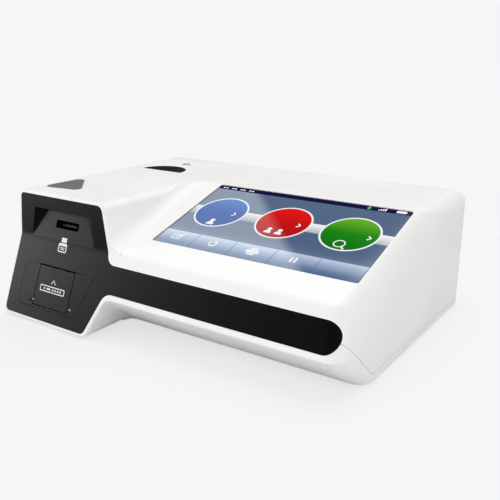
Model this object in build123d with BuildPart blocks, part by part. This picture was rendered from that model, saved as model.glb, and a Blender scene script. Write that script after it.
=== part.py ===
from build123d import *
import os
from math import acos, atan, cos, degrees, hypot, pi, radians, sin, tan

os.makedirs("parts", exist_ok=True)

# Rapid test reader, a desk-top lab unit with a cartridge tray behind a flap.
# Frame: X to the right, Y to the rear, Z up, origin on the table below the middle
# of the case. All lengths are millimetres and all angles are degrees.
# Distances called "from the left" and "from the front" start at the case's sides.

# ---------------------------------------------------------------- driving sizes
case_w = 276.0            # left side to right side
case_d = 220.0            # foremost edge to rearmost edge
case_h = 91.0             # table to the flat top
foot_h = 1.5              # rubber feet below the lower case
wall = 2.5                # moulded wall
seam_gap = 0.35           # shadow line between the two cases

front_lean = 21.8         # front slope, from the vertical
toe_z = 3.6               # height at which the front slope meets the front plane
bend_z = 58.2             # where the head's front turns upright
head_top_y = 25.0         # head's top front edge, from the front
screen_tilt = 17.03       # touch screen, from the horizontal
lip_z = 59.8              # where the front slope would meet the screen slope
band_low = 29.4           # lower edge of the white rim under the band
under_y = 45.0            # foot line of the undercut, from the front
rear_top_in = 8.5         # rear edge of the flat top, ahead of the rearmost edge
rear_bulge_z = 17.0       # height of the rearmost edge
rear_foot_in = 4.0        # rear foot line, ahead of the rearmost edge
rear_corner_r = 13.0      # rear corners, seen from above

head_low_w = 87.5         # head's width at its foot
head_top_w = 90.0         # head's width at its top
head_waist_w = 99.5       # head's width where it meets the band
ridge_r = 6.0             # soft ridge along the head's right top edge
head_left_r = 4.5         # head's left top edge
valley_r = 9.0            # hollow fillet between head and screen slope
soft_in = 9.0             # right side's soft edge, how far it reaches in
soft_down = 32.0          # how far it reaches down the side below the slope
soft_flat_down = 13.0     # the same, below the flat top
corner_r = 12.0           # round corner at the band's right end
rim_r = 1.2               # white rim's outer edge
waist_r = 8.0             # hollow corner of the rim where head and band meet
waist_hollow_r = 6.5      # hollow fillet behind it, down the head's right wall

seam_front_z = 40.0       # parting line at the front
seam_low_z = 6.5          # parting line along the sides
seam_front_y = 17.0       # front end of the slanted stretch, from the front
seam_turn_y = 54.0        # where the parting line levels out, from the front

# front cover
cover_t = 2.0             # moulded thickness
cover_sink = 0.2          # cover's face behind the casing's face
support_t = 2.0           # casing kept behind the cover
front_gap = 20.0          # reach of a cutter in front of the case
cover_reach = 70.0        # depth of the cutter that follows the cover
cover_fit = 0.15          # clearance round it in its pocket
rim_left = 2.2            # white rim left of the cover
cover_low = 3.8           # lower edge
cover_top = 89.0          # upper edge
band_z0 = 33.0            # band's lower edge
band_z1 = 51.0            # band's upper edge
band_end_in = 3.7         # band's right end, from the case's right side
cover_foot_x = 85.5       # right foot corner, from the left
cover_waist_x = 98.3      # where the lower right edge meets the band
cover_neck_x = 95.4       # where the upper right edge meets the band
cover_head_x = 86.2       # right top corner

# recess over the chip slot
recess_x0 = 14.0          # opening at the bend, from the left
recess_x1 = 80.0
recess_top_z = 80.0
recess_floor_x0 = 26.0    # floor's top corners
recess_floor_x1 = 66.5
recess_floor_z = 77.8

# chip slot
slot_x = 48.8             # middle, from the left
slot_w = 23.5
slot_h = 5.8
slot_z = 69.6

# port panel and door
panel_z0 = 11.5           # lower seam
panel_z1 = 40.8           # upper seam
panel_x0 = 14.5           # left seam
panel_top_x1 = 85.0       # right seam at its top
panel_low_x1 = 73.6       # right seam at its foot
door_x0 = 30.3            # door's left edge
door_x1 = 66.0            # door's right edge
door_z0 = 13.6            # door's lower edge
door_z1 = 40.1            # door's upper edge
door_t = 2.0
door_gap = 0.7            # gap all round the door
hinge_z = 16.0            # height of the door's hinge axis
hinge_pin_r = 1.0
hinge_fit = 0.08          # running clearance of a pin
barrel_r = 2.0

# touch screen
screen_x0 = 114.3         # window's left edge, from the left
screen_y0 = 42.7          # window's lower edge, from the front
screen_w = case_w - screen_x0 - 7.3
screen_h = 85.0
screen_r = 2.0            # window's corners
glass_t = 2.0
glass_sink = 0.5          # glass below the casing's surface
lcd_t = 6.0
lcd_margin = 5.6          # module's edge beyond the window on its left
lcd_inset = 2.0           # module's edge inside the window on its right
glass_fit = 0.2

# cartridge tray and its drive
tray_x0 = 34.0            # left side, from the left
tray_w = 24.4             # body of the tray, without its rack
tray_front = 44.5         # front face at rest, from the front
tray_l = 112.0
tray_z0 = 27.5
tray_t = 7.5
tray_travel = 77.0
rack_module = 0.8
rack_z0 = 28.5
rack_face = 4.5           # width of the rack's teeth
pinion_teeth = 16
mesh_play = 0.1           # pinion and rack set apart a little
motor_r = 10.0
motor_h = 15.0
shaft_r = 1.5
pinion_y = 71.0           # from the front
rail_gap = 0.4            # running gap round the tray
rail_t = 3.0
chassis_t = 2.0
optics_h = 24.0

# printer in the rear of the head
cover_x0 = 6.5            # printer cover's left edge, from the left
cover_x1 = 66.5
lid_y1 = case_d - 22.0     # its rear edge, from the front
lid_y0 = lid_y1 - 56.0
lid_t = 2.3
lid_gap = 0.5
lid_barrel_r = 2.2
lid_pin_r = 1.0
scoop_x = 36.4            # middle of the half-moon grip, from the left
scoop_r = 20.8
scoop_deep = 5.5
roll_r = 18.5
roll_core_r = 6.3
roll_y = case_d - 38.0
roll_z = 63.0
paper_w = 57.0
platen_r = 4.5
platen_y = case_d - 68.0
platen_z = 74.5
frame_t = 1.5             # printer frame's walls

# lower case, boards and rear connectors
floor_t = 2.5
boss_r = 3.5
post_h = 8.0              # board posts above the floor
board_x0 = 96.0           # main board's left edge, from the left
board_x1 = case_w - 20.0
board_y0 = 62.0           # its front edge, from the front
board_y1 = case_d - 7.0
board_t = 1.6
port_sink = 1.0           # connector faces behind the rear wall's outer face
port_fit = 0.3            # gap between a connector and its opening
socket_cut_y0 = case_d - 15.0   # rear wall openings are cut from here
socket_cut_y1 = case_d + 10.0
lan_x = case_w - 158.0             # middles of the rear connectors, from the left
usb_x = case_w - 130.0
serial_x = case_w - 92.0
jack_x = case_w - 57.0
switch_x = case_w - 29.0
lan_w = 16.0
lan_h = 13.5
lan_deep = 11.0           # plug openings, from the rear edge
usb_w = 14.5
usb_h = 15.0
usb_deep = 12.0
serial_w = 30.8
serial_h = 12.5
jack_w = 11.0
jack_h = 11.0
switch_w = 21.0
switch_h = 15.0
switch_z = 26.0
rocker_tilt = 9.0
rocker_gap = 0.35
rocker_pin_r = 1.2

badge_t = 0.5
badge_r = 4.5
badge_corners = [(8.0, 41.0), (43.0, 46.5), (10.0, 80.5)]   # from the left and the front
foot_r = 6.0
screw_r = 3.0


def from_left(d):
    """X of a place d from the case's left side."""
    return d - case_w / 2


def from_front(d):
    """Y of a place d behind the case's foremost edge."""
    return d - case_d / 2


slope = tan(radians(front_lean))


def slope_y(z):
    """Y of the front slope at a height."""
    return from_front((z - toe_z) * slope)


screen_rise = tan(radians(screen_tilt))
lip_y = slope_y(lip_z)
brow_y = lip_y + (case_h - lip_z) / screen_rise     # where the screen slope meets the top


def drawn_in(corners, radii, inset):
    """The same outline, given anticlockwise, with its sides moved inwards by a wall."""
    moved = []
    moved_radii = []
    count = len(corners)
    for i in range(count):
        before, here, after = (Vector(*corners[(i + k) % count]) for k in (-1, 0, 1))
        first = (here - before).normalized()
        second = (after - here).normalized()
        in_first = Vector(-first.Y, first.X)
        in_second = Vector(-second.Y, second.X)
        corner = here + (in_first + in_second) * (inset / (1 + in_first.dot(in_second)))
        moved.append((corner.X, corner.Y))
        hollow_corner = in_first.dot(second) < 0
        if radii[i] == 0:
            moved_radii.append(0)
        else:
            moved_radii.append(max(radii[i] + (inset if hollow_corner else -inset), 0))
    return moved, moved_radii


def rounded_outline(plane, corners, radii, inset):
    """Face inside a rounded outline, or inside the same outline drawn in by a wall."""
    points, point_radii = drawn_in(corners, radii, inset)
    with BuildSketch(plane) as outline:
        with BuildLine():
            FilletPolyline(*points, radius=point_radii, close=True)
        make_face()
    return outline.sketch


# ------------------------------------------------------------- the outer form
def main_profile(inset):
    """Side view of the wide part: undercut, band, screen slope, top and rear."""
    corners = [
        (from_front(case_d - rear_foot_in), foot_h),
        (from_front(case_d), rear_bulge_z),
        (from_front(case_d - rear_top_in), case_h),
        (brow_y, case_h),
        (lip_y, lip_z),
        (slope_y(band_low), band_low),
        (from_front(under_y), foot_h),
    ]
    return rounded_outline(Plane.YZ, corners, [3, 12, 9, 0, 5.5, rim_r, 6], inset)


def head_profile(inset):
    """Side view of the head: leaning front, upright brow, flat top and rear."""
    corners = [
        (from_front(case_d - rear_foot_in), foot_h),
        (from_front(case_d), rear_bulge_z),
        (from_front(case_d - rear_top_in), case_h),
        (from_front(head_top_y), case_h),
        (slope_y(bend_z), bend_z),
        (slope_y(foot_h), foot_h),
    ]
    return rounded_outline(Plane.YZ, corners, [3, 12, 9, 0, 14, 0], inset)


def head_outline(inset):
    """Front view of the head, with the root of the band at its right."""
    corners = [
        (from_left(0), foot_h),
        (from_left(head_low_w), foot_h),
        (from_left(head_waist_w), band_low),
        (from_left(head_waist_w) + 30, band_low),
        (from_left(head_waist_w) + 30, band_z1),
        (from_left(head_waist_w), band_z1),
        (from_left(head_top_w), case_h),
        (from_left(0), case_h),
    ]
    return rounded_outline(Plane.XZ, corners, [3, 5.5, waist_r, 0, 0, 0, ridge_r, head_left_r], inset)


def soft_edge(plane, inset, down):
    """What is cut away outside the soft right edge, along a plane's normal."""
    with BuildPart() as outside:
        with BuildSketch(plane):
            with BuildLine():
                EllipticalCenterArc((-soft_in, -down), soft_in - inset, down - inset, 0, arc_size=90)
                Polyline((-soft_in, -inset), (-soft_in, soft_in), (2 * soft_in, soft_in),
                         (2 * soft_in, -down), (-inset, -down))
            make_face()
        extrude(amount=case_d, both=True)
    return outside.part


def round_corner(front, lean_dir, inset):
    """What is cut away outside the right corner of a leaning face that meets z = 0 at front."""
    mid_x = case_w / 2 - corner_r
    mid_y = front + corner_r
    far = 2 * corner_r
    with BuildPart() as outside:
        with BuildSketch(Plane.XY):
            with BuildLine():
                CenterArc((mid_x, mid_y), corner_r - inset, -90, 90)
                Polyline((mid_x + corner_r - inset, mid_y), (mid_x + far, mid_y),
                         (mid_x + far, mid_y - far), (mid_x, mid_y - far),
                         (mid_x, mid_y - corner_r + inset))
            make_face()
        extrude(amount=case_h, dir=lean_dir, both=True)
    return outside.part


main_x0 = from_left(60.0)
under_lean = (from_front(under_y) - slope_y(band_low)) / (band_low - foot_h)
under_front = from_front(under_y) + under_lean * foot_h
edge_on_slope = Plane(origin=(case_w / 2, lip_y, lip_z), x_dir=(1, 0, 0),
                      z_dir=(0, -cos(radians(screen_tilt)), -sin(radians(screen_tilt))))
edge_on_top = Plane(origin=(case_w / 2, 0, case_h), x_dir=(1, 0, 0), z_dir=(0, -1, 0))


def front_rim(faces):
    """Edges round the forward faces that no two of them share."""
    forward = [face for face in faces if face.normal_at(face.center()).Y < -0.9]
    edges = [edge for face in forward for edge in face.edges()]
    return [edge for edge in edges
            if sum((edge.center() - other.center()).length < 0.001 for other in edges) == 1]


def case_form(inset):
    """The whole housing as one solid, or the same form drawn in by a wall."""
    with BuildPart() as wide:
        extrude(main_profile(inset), amount=case_w / 2 - inset - main_x0, dir=(1, 0, 0))
    wide_part = wide.part.moved(Location((main_x0, 0, 0)))
    with BuildPart() as head_side:
        extrude(head_profile(inset), amount=case_w, dir=(1, 0, 0), both=True)
    with BuildPart() as head:
        extrude(head_outline(inset), amount=case_d, dir=(0, 1, 0), both=True)
        add(head_side.part, mode=Mode.INTERSECT)
        if inset == 0:
            fillet(front_rim(head.faces()), rim_r)
    with BuildPart() as form:
        add(wide_part)
        add(round_corner(slope_y(0), (0, slope, 1), inset), mode=Mode.SUBTRACT)
        add(round_corner(under_front, (0, -under_lean, 1), inset), mode=Mode.SUBTRACT)
        add(soft_edge(edge_on_slope, inset, soft_down), mode=Mode.SUBTRACT)
        add(soft_edge(edge_on_top, inset, soft_flat_down), mode=Mode.SUBTRACT)
        add(head.part)
        with BuildSketch(Plane.XY):
            with BuildLine():
                half = case_w / 2 - inset
                rear = case_d / 2 - inset
                FilletPolyline((-half, -case_d), (half, -case_d), (half, rear), (-half, rear),
                               radius=[0, 0, rear_corner_r - inset, rear_corner_r - inset],
                               close=True)
            make_face()
        extrude(amount=case_h + 10, mode=Mode.INTERSECT)
    return form.part


def below_seam(lift):
    """Everything under the parting line, or under the same line lifted a little."""
    with BuildPart() as low:
        with BuildSketch(Plane.YZ):
            with BuildLine():
                FilletPolyline(
                    (-case_d, seam_front_z + lift),
                    (from_front(seam_front_y), seam_front_z + lift),
                    (from_front(seam_turn_y), seam_low_z + lift),
                    (case_d, seam_low_z + lift),
                    (case_d, -case_h),
                    (-case_d, -case_h),
                    radius=[0, 5, 5, 0, 0, 0],
                    close=True,
                )
            make_face()
        extrude(amount=case_w, both=True)
    return low.part


case_solid = case_form(0)
hollow_solid = case_form(wall)


def behind_front(depth):
    """The outer form set back, so that its front lies a depth behind the case's front."""
    return case_solid.moved(Location((0, depth / cos(radians(front_lean)), 0)))


def cover_outline(grow):
    """Prism of the dark cover's front view: the head's panel and the long band."""
    corners = [
        (from_left(rim_left), cover_low),
        (from_left(cover_foot_x), cover_low),
        (from_left(cover_waist_x), band_z0),
        (from_left(case_w - band_end_in), band_z0),
        (from_left(case_w - band_end_in), band_z1),
        (from_left(cover_neck_x), band_z1),
        (from_left(cover_head_x), cover_top),
        (from_left(rim_left), cover_top),
    ]
    outline = rounded_outline(Plane.XZ, corners, [4, 5, 9, 8.9, 8.9, 7, 5, 3], -grow)
    with BuildPart() as prism:
        extrude(outline, amount=cover_reach, dir=(0, -1, 0))
    return prism.part.moved(Location((0, cover_reach - case_d / 2 - front_gap, 0)))


def recess_form(grow):
    """The hollow above the bend, whose floor carries on the lower slope."""
    mouth_y = slope_y(bend_z)
    floor_y = slope_y(recess_floor_z)
    side_corners = [
        (mouth_y - 8, bend_z),
        (mouth_y, bend_z),
        (floor_y, recess_floor_z),
        (from_front(head_top_y), recess_top_z),
        (mouth_y - 8, recess_top_z),
    ]
    plan_corners = [
        (from_left(recess_x0), mouth_y - 8),
        (from_left(recess_x1), mouth_y - 8),
        (from_left(recess_x1), mouth_y),
        (from_left(recess_floor_x1), floor_y),
        (from_left(recess_floor_x0), floor_y),
        (from_left(recess_x0), mouth_y),
    ]
    with BuildPart() as side:
        extrude(rounded_outline(Plane.YZ, side_corners, [0, 0, 0, 0, 0], -grow),
                amount=case_w, dir=(1, 0, 0), both=True)
    with BuildPart() as hollow:
        extrude(rounded_outline(Plane.XY, plan_corners, [0, 0, 0, 2, 2, 0], -grow),
                amount=case_h + 10, dir=(0, 0, 1))
        add(side.part, mode=Mode.INTERSECT)
    return hollow.part


# Plane on the front slope: X along the case, Y up the slope, Z out of it.
slope_plane = Plane(origin=(0, slope_y(toe_z), toe_z), x_dir=(1, 0, 0),
                    z_dir=(0, -cos(radians(front_lean)), sin(radians(front_lean))))


def up_slope(z):
    """Distance up the slope plane of a height."""
    return (z - toe_z) / cos(radians(front_lean))


cover_back = cover_sink + cover_t
support_back = cover_back + support_t

recess_wall = 1.6         # wall of the recess cup
socket_fit = 0.4          # gap round the chip socket in the casing


def hollow_fillet(point, normal_a, normal_b, r, back, length):
    """Filler with a hollow round face in the corner between two walls, along their meeting line."""
    along_a = (normal_b - normal_a * normal_a.dot(normal_b)).normalized()
    along_b = (normal_a - normal_b * normal_a.dot(normal_b)).normalized()
    line = along_a.cross(along_b).normalized()
    angle = acos(along_a.dot(along_b))
    reach = r / tan(angle / 2)
    on_b = (reach * cos(angle), reach * sin(angle))
    into_b = (-sin(angle), cos(angle))
    with BuildPart() as filler:
        with BuildSketch(Plane(origin=point - line * back, x_dir=along_a, z_dir=line)):
            with BuildLine():
                TangentArc((reach, 0), on_b, tangent=(-1, 0))
                Polyline(on_b, (on_b[0] + 2 * into_b[0], on_b[1] + 2 * into_b[1]),
                         (2 * into_b[0], 2 * into_b[1] - 2), (reach, -2), (reach, 0))
            make_face()
        extrude(amount=length)
    return filler.part


# The valley between the head and the screen slope, and the hollow below the band's root.
wall_lean = (head_waist_w - head_top_w) / (case_h - band_z1)
head_wall = Vector(1, 0, wall_lean).normalized()
valley_foot = Vector(from_left(head_top_w + (case_h - lip_z) * wall_lean), lip_y, lip_z)
screen_up = Vector(0, -sin(radians(screen_tilt)), cos(radians(screen_tilt)))
valley_l = 2 * (brow_y - lip_y + 40)
low_lean = (head_waist_w - head_low_w) / (band_low - foot_h)
low_wall = Vector(1, 0, -low_lean).normalized()
under_face = Vector(0, -1, -under_lean).normalized()
under_foot = Vector(from_left(head_low_w), from_front(under_y), foot_h)
under_l = 2 * hypot(band_low, under_y)
with BuildPart() as head_side:
    extrude(head_profile(0), amount=case_w, dir=(1, 0, 0), both=True)
with BuildPart() as valley:
    add(hollow_fillet(valley_foot, head_wall, screen_up, valley_r, valley_l / 2, valley_l))
    add(head_side.part, mode=Mode.INTERSECT)
with BuildPart() as root_hollow:
    add(hollow_fillet(under_foot, low_wall, under_face, waist_hollow_r, under_l / 2, under_l))
    add(head_side.part, mode=Mode.INTERSECT)

with BuildPart() as outer:
    add(case_solid)
    add(valley.part)
    add(root_hollow.part)
with BuildPart() as cavity:
    add(hollow_solid)
    add(behind_front(support_back), mode=Mode.INTERSECT)
with BuildPart() as cover_pocket:
    add(cover_outline(cover_fit))
    add(behind_front(cover_back), mode=Mode.SUBTRACT)

# Plane on the screen slope: X along the case, Y up the slope, Z out of it.
screen_plane = Plane(origin=(0, lip_y, lip_z), x_dir=(1, 0, 0),
                     z_dir=(0, -sin(radians(screen_tilt)), cos(radians(screen_tilt))))
window_x = from_left(screen_x0 + screen_w / 2)
window_y0 = (from_front(screen_y0) - lip_y) / cos(radians(screen_tilt))
window_y = window_y0 + screen_h / 2

hinge_depth = cover_sink + barrel_r
hinge_up = up_slope(hinge_z)
hinge_point = slope_plane.from_local_coords((0, hinge_up, -hinge_depth))
hinge_plane = Plane(origin=(0, hinge_point.Y, hinge_point.Z), x_dir=(0, 1, 0), z_dir=(1, 0, 0))
lug_t = 2.6
lug_x0 = door_x0 - door_gap - 3.0 - lug_t     # left lug's outer face, from the left
lug_x1 = door_x1 + door_gap + 3.0             # right lug's inner face, from the left
port_x0 = lug_x0 - 1.0
port_x1 = lug_x1 + lug_t + 1.0
port_z0 = panel_z0

lid_axis_y = from_front(lid_y1) - lid_barrel_r
lid_axis_z = case_h - lid_barrel_r
lid_plane = Plane(origin=(0, lid_axis_y, lid_axis_z), x_dir=(0, 1, 0), z_dir=(1, 0, 0))
lid_pin_out = 2.6         # how far each lid pin reaches into the casing

post_spots = [(9.0, 60.0, -1, 0), (79.0, case_d - 17.0, 0, 1),
              (case_w - 9.0, 72.0, 1, 0), (case_w - 9.0, case_d - 24.0, 1, 0)]
post_r = 4.0
post_top = 52.0
boss_top = 9.0
pilot_r = 1.5
head_deep = 2.4

ports = [
    ("lan_port", lan_x, lan_w, lan_h),
    ("usb_ports", usb_x, usb_w, usb_h),
    ("serial_port", serial_x, serial_w, serial_h),
    ("dc_jack", jack_x, jack_w, jack_h),
]
board_z0 = foot_h + floor_t + post_h
board_z1 = board_z0 + board_t


def upright(x, y, r, z0, z1):
    """Cylinder between two heights at a place in the plan."""
    with BuildPart() as pillar:
        with BuildSketch(Plane.XY.offset(z0)):
            with Locations((x, y)):
                Circle(r)
        extrude(amount=z1 - z0)
    return pillar.part


def block(x0, x1, y0, y1, z0, z1):
    """Box between two corners, with X from the left and Y from the front."""
    with BuildPart() as box:
        with BuildSketch(Plane.XY.offset(z0)):
            with Locations((from_left((x0 + x1) / 2), from_front((y0 + y1) / 2))):
                Rectangle(x1 - x0, y1 - y0)
        extrude(amount=z1 - z0)
    return box.part


def bar(plane, r, x0, x1):
    """Round bar along X on an axis plane, between two places from the left."""
    with BuildPart() as rod:
        with BuildSketch(plane.offset(from_left(x0))):
            Circle(r)
        extrude(amount=x1 - x0)
    return rod.part


def save(piece, label):
    """Name a finished piece and write it."""
    piece.part.label = label
    export_step(piece.part, "parts/" + label + ".step")
    print(f"{label:20s} {piece.part.volume:12.1f} {len(piece.part.solids())}")


# ------------------------------------------------------------------ lower case
with BuildPart() as shell:
    add(outer.part)
    add(cover_pocket.part, mode=Mode.SUBTRACT)
    add(cavity.part, mode=Mode.SUBTRACT)
    add(block(port_x0, port_x1, -20, 46, port_z0, panel_z1 + 1.5), mode=Mode.SUBTRACT)
    add(recess_form(recess_wall + cover_fit), mode=Mode.SUBTRACT)
    with BuildSketch(slope_plane.offset(-recess_wall)):
        with Locations((from_left(slot_x), up_slope(slot_z))):
            Rectangle(slot_w + 5 + 2 * socket_fit, slot_h + 4.4 + 2 * socket_fit)
    extrude(amount=-22, mode=Mode.SUBTRACT)

foot_spots = [(16.0, 16.0), (68.0, 16.0), (16.0, case_d - 20.0),
              (case_w - 21.0, 56.0), (case_w - 21.0, case_d - 18.0)]
board_posts = [(x, y) for x in (board_x0 + 6.0, board_x1 - 6.0) for y in (board_y0 + 6.0, board_y1 - 23.0)]
chassis_posts = [(31.5, 52.0), (76.0, 90.0), (31.5, 150.0), (60.0, 150.0), (60.0, 52.0)]
chassis_z1 = tray_z0 - rail_gap
chassis_z0 = chassis_z1 - chassis_t
with BuildPart() as bottom_case:
    add(shell.part)
    add(below_seam(0), mode=Mode.INTERSECT)
    for x, y in board_posts:
        add(upright(from_left(x), from_front(y), boss_r, foot_h + 1, board_z0))
    for x, y in chassis_posts:
        add(upright(from_left(x), from_front(y), boss_r, foot_h + 1, chassis_z0))
    for x, y, dx, dy in post_spots:
        add(upright(from_left(x), from_front(y), post_r + 0.5, foot_h + 1, boss_top))
    for x, y, dx, dy in post_spots:
        add(upright(from_left(x), from_front(y), screw_r + 0.4, foot_h - 1, foot_h + head_deep),
            mode=Mode.SUBTRACT)
        add(upright(from_left(x), from_front(y), pilot_r, foot_h - 1, boss_top + 1),
            mode=Mode.SUBTRACT)
    with BuildSketch(Plane.XY):
        with Locations((from_left(case_w - 68), from_front(130))):
            with GridLocations(7, 1, 9, 1):
                SlotOverall(34, 2.4, rotation=90)
    extrude(amount=foot_h + floor_t + 1, mode=Mode.SUBTRACT)
save(bottom_case, "bottom_case")

# ------------------------------------------------------------------- top casing
with BuildPart() as post_ribs:
    for x, y, dx, dy in post_spots:
        x0, x1 = sorted((x, x + dx * 10.0)) if dx else (x - 1, x + 1)
        y0, y1 = sorted((y, y + dy * 14.0)) if dy else (y - 1, y + 1)
        add(block(x0, x1, y0, y1, 14, post_top))
    add(case_solid, mode=Mode.INTERSECT)
with BuildPart() as top_case:
    add(shell.part)
    add(below_seam(seam_gap), mode=Mode.SUBTRACT)
    add(post_ribs.part)
    for x, y, dx, dy in post_spots:
        add(upright(from_left(x), from_front(y), post_r, boss_top + 0.3, post_top))
        add(upright(from_left(x), from_front(y), pilot_r, boss_top, post_top - 12),
            mode=Mode.SUBTRACT)
    with BuildSketch(screen_plane):
        with Locations((window_x, window_y)):
            RectangleRounded(screen_w, screen_h, screen_r)
    extrude(amount=8, both=True, mode=Mode.SUBTRACT)
    add(block(cover_x0 - lid_gap, cover_x1 + lid_gap, lid_y0 - lid_gap, lid_y1 + lid_gap,
              case_h - wall - 6, case_h + 1), mode=Mode.SUBTRACT)
    add(bar(lid_plane, lid_pin_r + 0.02, cover_x0 - lid_pin_out, cover_x1 + lid_pin_out),
        mode=Mode.SUBTRACT)
    for name, x, w, h in ports:
        add(block(x - w / 2 - port_fit, x + w / 2 + port_fit, socket_cut_y0, socket_cut_y1,
                  board_z1 - port_fit, board_z1 + h + port_fit), mode=Mode.SUBTRACT)
    add(block(switch_x - switch_w / 2, switch_x + switch_w / 2, socket_cut_y0, socket_cut_y1,
              switch_z - switch_h / 2, switch_z + switch_h / 2), mode=Mode.SUBTRACT)
save(top_case, "top_case")

# ------------------------------------------------------------------ front cover
with BuildPart() as recess_cup:
    add(recess_form(recess_wall))
    add(behind_front(cover_sink), mode=Mode.INTERSECT)
panel_corners = [
    (from_left(panel_x0), up_slope(panel_z0)),
    (from_left(panel_low_x1), up_slope(panel_z0)),
    (from_left(panel_top_x1), up_slope(panel_z1)),
    (from_left(panel_x0), up_slope(panel_z1)),
]
panel_radii = [3, 1, 1, 1]
panel_seam = 0.35
with BuildPart() as front_cover:
    add(cover_outline(0))
    add(behind_front(cover_back), mode=Mode.SUBTRACT)
    add(behind_front(cover_sink), mode=Mode.INTERSECT)
    add(recess_cup.part)
    add(recess_form(0), mode=Mode.SUBTRACT)
    with BuildSketch(slope_plane):
        with Locations((from_left(slot_x), up_slope(slot_z))):
            RectangleRounded(slot_w, slot_h, 1.5)
    extrude(amount=6, both=True, mode=Mode.SUBTRACT)
    extrude(rounded_outline(slope_plane, panel_corners, panel_radii, -panel_seam),
            amount=6, dir=slope_plane.z_dir, both=True, mode=Mode.SUBTRACT)
save(front_cover, "front_cover")

with BuildPart() as chip_socket:
    with BuildSketch(slope_plane.offset(-recess_wall)):
        with Locations((from_left(slot_x), up_slope(slot_z))):
            Rectangle(slot_w + 5, slot_h + 4.4)
    extrude(amount=-20)
    with BuildSketch(slope_plane.offset(-recess_wall)):
        with Locations((from_left(slot_x), up_slope(slot_z))):
            RectangleRounded(slot_w, slot_h, 1.5)
    extrude(amount=-17, mode=Mode.SUBTRACT)
save(chip_socket, "chip_socket")

# ---------------------------------------------------------- port panel and door
panel_plane = slope_plane.offset(-cover_sink)
door_mid_x = from_left((door_x0 + door_x1) / 2)
door_w = door_x1 - door_x0
door_mid_up = (up_slope(door_z0) + up_slope(door_z1)) / 2
door_l = up_slope(door_z1) - up_slope(door_z0)
notch_h = 2.4
with BuildPart() as port_panel:
    extrude(rounded_outline(panel_plane, panel_corners, panel_radii, 0),
            amount=cover_t, dir=panel_plane.z_dir * -1)
    with BuildSketch(panel_plane):
        with Locations((door_mid_x, up_slope(door_z0) - door_gap)):
            Rectangle(door_w + 2 * door_gap, 2 * door_l, align=(Align.CENTER, Align.MIN))
    extrude(amount=-cover_t, mode=Mode.SUBTRACT)
    with BuildSketch(panel_plane):
        with Locations((door_mid_x, hinge_up)):
            Rectangle(door_w + 2 * door_gap + 6.0, notch_h)
    extrude(amount=-cover_t, mode=Mode.SUBTRACT)
    with BuildSketch(panel_plane.offset(-cover_t)):
        with Locations((from_left(lug_x0 + lug_t / 2), hinge_up), (from_left(lug_x1 + lug_t / 2), hinge_up)):
            Rectangle(lug_t, 5.0)
    extrude(amount=-(2 * barrel_r - cover_t + 0.8))
    with BuildSketch(panel_plane):
        with Locations((from_left(lug_x0 + lug_t / 2), hinge_up), (from_left(lug_x1 + lug_t / 2), hinge_up)):
            Rectangle(lug_t, 5.0)
    extrude(amount=-cover_t)
    add(bar(hinge_plane, hinge_pin_r + 0.02, lug_x0 + 0.6, lug_x1 + lug_t - 0.6), mode=Mode.SUBTRACT)
save(port_panel, "port_panel")

with BuildPart() as cartridge_door:
    with BuildSketch(panel_plane):
        with Locations((door_mid_x, door_mid_up)):
            Rectangle(door_w, door_l)
    extrude(amount=-door_t)
    low_edges = cartridge_door.edges().filter_by(Axis.X).group_by(Axis.Z)[0]
    fillet(low_edges, 0.9)
    add(bar(hinge_plane, barrel_r, door_x0, door_x1))
    add(bar(hinge_plane, hinge_pin_r + hinge_fit, door_x0 - 1, door_x1 + 1), mode=Mode.SUBTRACT)
save(cartridge_door, "cartridge_door")

with BuildPart() as door_hinge_pins:
    add(bar(hinge_plane, hinge_pin_r, lug_x0 + 0.6, door_x0 + 3.5))
    add(bar(hinge_plane, hinge_pin_r, door_x1 - 3.5, lug_x1 + lug_t - 0.6))
save(door_hinge_pins, "door_hinge_pins")

# ------------------------------------------------------ cartridge tray and drive
tray_x1 = tray_x0 + tray_w
pitch_r = rack_module * pinion_teeth / 2
rack_pitch = pi * rack_module
rack_root = 1.25 * rack_module
rack_tip = 0.95 * rack_module
pressure = radians(20)
rack_teeth_n = int((tray_travel + 8) / rack_pitch)
pinion_x = tray_x1 + rack_root + pitch_r + mesh_play
pocket_w = 20.4
pocket_l = 80.0
pocket_deep = 4.6
with BuildPart() as cartridge_tray:
    with BuildSketch(Plane.XY.offset(tray_z0)):
        with Locations((from_left(tray_x0 + tray_w / 2), from_front(tray_front + tray_l / 2))):
            Rectangle(tray_w, tray_l)
    extrude(amount=tray_t)
    fillet(cartridge_tray.edges().filter_by(Axis.Z).group_by(Axis.Y)[0], 2.0)
    with BuildSketch(Plane.XY.offset(tray_z0 + tray_t)):
        with Locations((from_left(tray_x0 + tray_w / 2), from_front(tray_front + 3.5 + pocket_l / 2))):
            RectangleRounded(pocket_w, pocket_l, 1.5)
    extrude(amount=-pocket_deep, mode=Mode.SUBTRACT)
    with BuildSketch(Plane.XY.offset(tray_z0 + tray_t)):
        with Locations((from_left(tray_x0 + tray_w / 2), from_front(tray_front))):
            Circle(7.0)
    extrude(amount=-pocket_deep, mode=Mode.SUBTRACT)
    with BuildSketch(Plane.XY.offset(rack_z0)):
        for i in range(rack_teeth_n):
            tooth_y = from_front(pinion_y) + (i + 0.5 - 1) * rack_pitch
            half_root = rack_pitch / 4 + rack_root * tan(pressure)
            half_tip = rack_pitch / 4 - rack_tip * tan(pressure)
            root_x = from_left(tray_x1)
            tip_x = root_x + rack_root + rack_tip
            with BuildLine():
                Polyline((root_x - 0.2, tooth_y - half_root), (root_x, tooth_y - half_root),
                         (tip_x, tooth_y - half_tip), (tip_x, tooth_y + half_tip),
                         (root_x, tooth_y + half_root), (root_x - 0.2, tooth_y + half_root),
                         close=True)
            make_face()
    extrude(amount=rack_face)
save(cartridge_tray, "cartridge_tray")

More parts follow.
